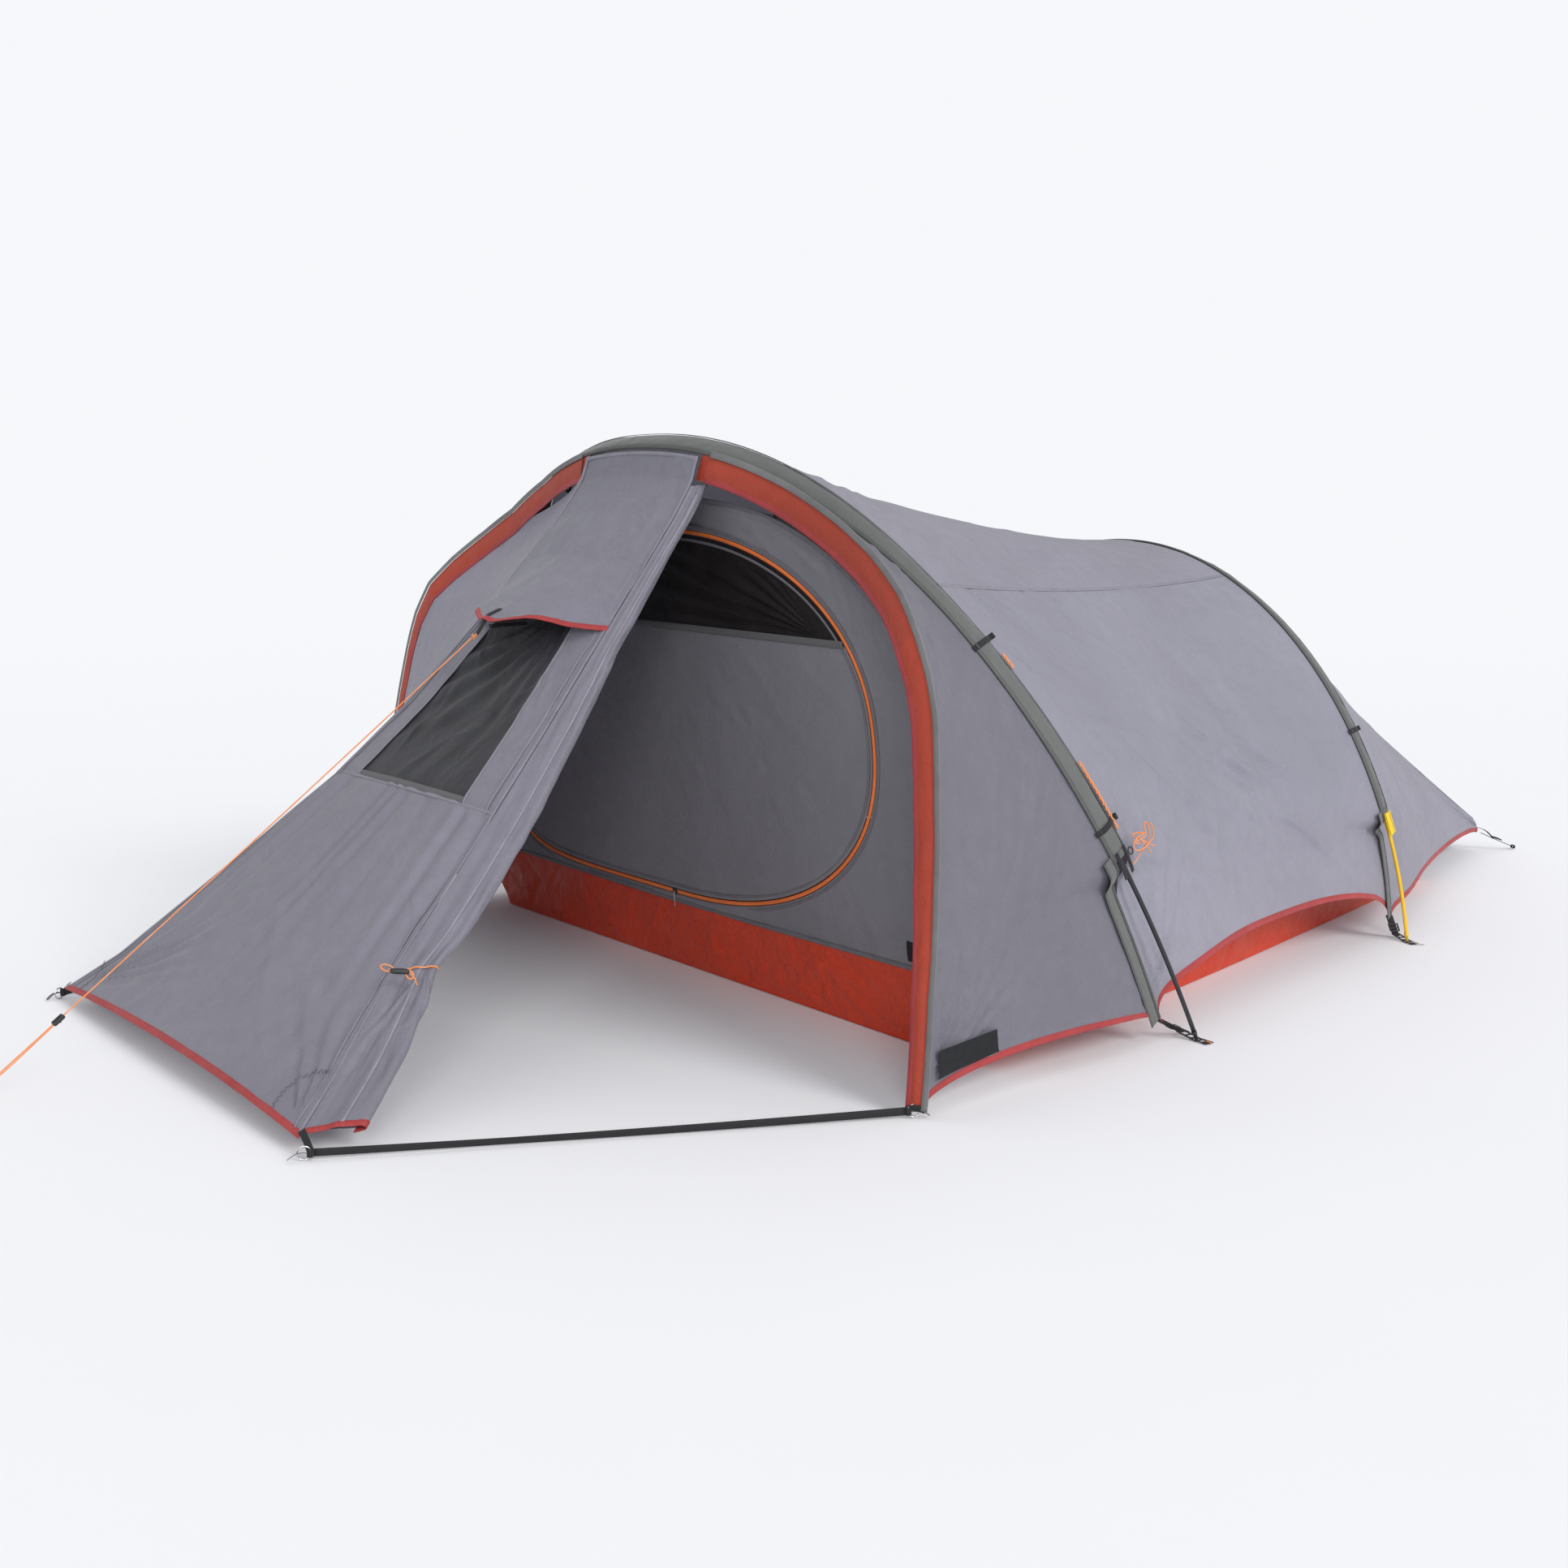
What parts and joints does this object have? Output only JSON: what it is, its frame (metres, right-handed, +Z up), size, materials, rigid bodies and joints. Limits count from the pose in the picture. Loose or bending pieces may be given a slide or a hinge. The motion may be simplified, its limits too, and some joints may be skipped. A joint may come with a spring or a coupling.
{
  "type": "two-hoop tunnel tent",
  "caption": "Low hooped trekking tent pitched with its porch door tied back, a propped vent hood on the nose and a separate sleeping compartment with a half-mesh door",
  "frame": {"origin": "middle of the ground plan, on the ground, measured without the nose line and the tied-up spare line", "axes": "+Y runs from the nose of the porch to the low tail, +X to the side with the open door, +Z up"},
  "size_m": [2.0486, 4.3677, 1.154],
  "materials": {
    "fly_cloth": "coated ripstop, satin",
    "sleeve_cloth": "matt woven",
    "inner_cloth": "uncoated thin ripstop",
    "hem_red": "woven tape",
    "gutter_red": "coated cloth",
    "groundsheet_orange": "thick coated cloth",
    "zip_orange": "coil zip",
    "mesh_black": "fine mesh",
    "webbing_black": "woven webbing",
    "webbing_yellow": "woven webbing",
    "cord_orange": "braided cord",
    "pole_grey": "anodised",
    "pole_gold": "anodised",
    "ring_steel": "bright",
    "plastic_black": "moulded"
  },
  "bodies": {
    "shelter": {"corner_strap_far": "webbing_black", "corner_strap_near": "webbing_black", "door_near": "fly_cloth", "fly_front_far": "fly_cloth", "fly_front_near": "fly_cloth", "fly_rear_centre": "fly_cloth", "fly_rear_far": "fly_cloth", "fly_rear_near": "fly_cloth", "fly_roof": "fly_cloth", "fly_side_far": "fly_cloth", "fly_side_near": "fly_cloth", "front_pole_far": "pole_grey", "front_pole_near": "pole_grey", "front_sleeve": "sleeve_cloth", "gutter_far": "gutter_red", "gutter_near": "gutter_red", "guyline": "cord_orange", "hem_front_far": "hem_red", "hem_front_near": "hem_red", "hem_nose": "hem_red", "hem_rear": "hem_red", "hem_side_far": "hem_red", "hem_side_near": "hem_red", "inner_canopy": "inner_cloth", "inner_front_wall": "inner_cloth", "inner_tub": "groundsheet_orange", "inner_zip": "zip_orange", "ladder_front_far": "webbing_black", "ladder_front_near": "webbing_black", "ladder_rear_far": "webbing_black", "ladder_rear_near": "webbing_black", "nose_lower": "fly_cloth", "nose_upper": "fly_cloth", "rear_pole_far": "pole_gold", "rear_pole_near": "pole_gold", "rear_sleeve": "sleeve_cloth", "rear_tab_far": "webbing_yellow", "rear_tab_near": "webbing_yellow", "sill_strap_far": "webbing_black", "sill_strap_near": "webbing_black", "sleeve_strap_lower_far": "webbing_black", "sleeve_strap_lower_near": "webbing_black", "sleeve_strap_rear_far": "webbing_black", "sleeve_strap_rear_near": "webbing_black", "sleeve_strap_upper_far": "webbing_black", "sleeve_strap_upper_near": "webbing_black", "spare_guyline": "cord_orange", "tie_toggle": "plastic_black", "vent_mesh": "mesh_black"},
    "inner_door": {"inner_door_panel": "inner_cloth", "inner_door_mesh": "mesh_black"},
    "far_door": {"door_far": "fly_cloth"},
    "vent": {"vent_hood": "fly_cloth", "vent_strut": "plastic_black"},
    "tensioner": {"guy_tensioner": "plastic_black"},
    "zip_slider": {"inner_zip_slider": "plastic_black"},
    "ring_nose_near_body": {"ring_nose_near": "ring_steel"},
    "ring_nose_far_body": {"ring_nose_far": "ring_steel"},
    "ring_door_near_body": {"ring_door_near": "ring_steel"},
    "ring_door_far_body": {"ring_door_far": "ring_steel"}
  },
  "joints": [
    {"name": "inner_door_swing", "type": "hinge", "parent": "shelter", "child": "inner_door", "pos_m": [-0.762, -0.849, 0.55], "axis": [0, -0.1191, 0.9929], "range_deg": [0, 12]},
    {"name": "far_door_swing", "type": "hinge", "parent": "shelter", "child": "far_door", "pos_m": [-0.21, -0.948, 1.115], "axis": [0.2339, 0.6729, 0.7018], "range_deg": [0, 50]},
    {"name": "vent_hood_lift", "type": "hinge", "parent": "shelter", "child": "vent", "pos_m": [0, -1.096, 0.906], "axis": [-1, 0, 0], "range_deg": [0, 14]},
    {"name": "guy_tensioner_slide", "type": "slide", "parent": "shelter", "child": "tensioner", "axis": [0, 0.7991, 0.6012], "range_m": [-0.06, 0.16]},
    {"name": "inner_zip_slide", "type": "slide", "parent": "shelter", "child": "zip_slider", "axis": [-1, 0, 0], "range_m": [0, 0.26]},
    {"name": "ring_nose_near_swing", "type": "hinge", "parent": "shelter", "child": "ring_nose_near_body", "pos_m": [0.6006, -1.9812, 0.0128], "axis": [0, 0, 1], "range_deg": [-32, 32]},
    {"name": "ring_nose_far_swing", "type": "hinge", "parent": "shelter", "child": "ring_nose_far_body", "pos_m": [-0.6006, -1.9812, 0.0128], "axis": [0, 0, 1], "range_deg": [-32, 32]},
    {"name": "ring_door_near_swing", "type": "hinge", "parent": "shelter", "child": "ring_door_near_body", "pos_m": [1.0054, -1.0848, 0.0128], "axis": [0, 0, 1], "range_deg": [-32, 32]},
    {"name": "ring_door_far_swing", "type": "hinge", "parent": "shelter", "child": "ring_door_far_body", "pos_m": [-1.0054, -1.0848, 0.0128], "axis": [0, 0, 1], "range_deg": [-32, 32]}
  ]
}
